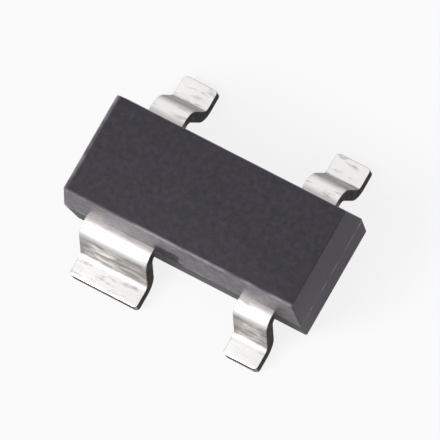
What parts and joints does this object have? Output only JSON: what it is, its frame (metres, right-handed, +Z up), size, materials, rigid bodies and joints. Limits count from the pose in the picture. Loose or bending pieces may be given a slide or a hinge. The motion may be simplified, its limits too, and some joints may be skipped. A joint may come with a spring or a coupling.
{
  "type": "real time clock chip",
  "caption": "Small surface-mount clock chip: a black epoxy body with gull-wing leads along both long sides, one lead wider than the rest, and a wire-bonded die inside.",
  "frame": {"origin": "on the seating plane, under the middle of the moulded body", "axes": "+X along the body, towards the narrow lead of the side with the wide lead; +Y across the body, away from the wide lead; +Z up, out of the top face"},
  "size_m": [0.003, 0.0024, 0.001],
  "materials": {
    "black_epoxy_moulding_compound": "fine spark-eroded mould texture, matt",
    "matte_tin_plated_copper_alloy": "matt tin plating over copper alloy strip",
    "polished_silicon": "polished and passivated silicon",
    "silver_filled_epoxy": "cured silver-filled paste",
    "drawn_gold_wire": "drawn gold, bright"
  },
  "bodies": {
    "root": {"moulded_body": "black_epoxy_moulding_compound", "lead_pin_1": "matte_tin_plated_copper_alloy", "lead_pin_2": "matte_tin_plated_copper_alloy", "lead_pin_3": "matte_tin_plated_copper_alloy", "lead_pin_4": "matte_tin_plated_copper_alloy", "die": "polished_silicon", "die_attach": "silver_filled_epoxy", "bond_wire_pin_1": "drawn_gold_wire", "bond_wire_pin_2": "drawn_gold_wire", "bond_wire_pin_3": "drawn_gold_wire", "bond_wire_pin_4": "drawn_gold_wire"}
  },
  "joints": []
}
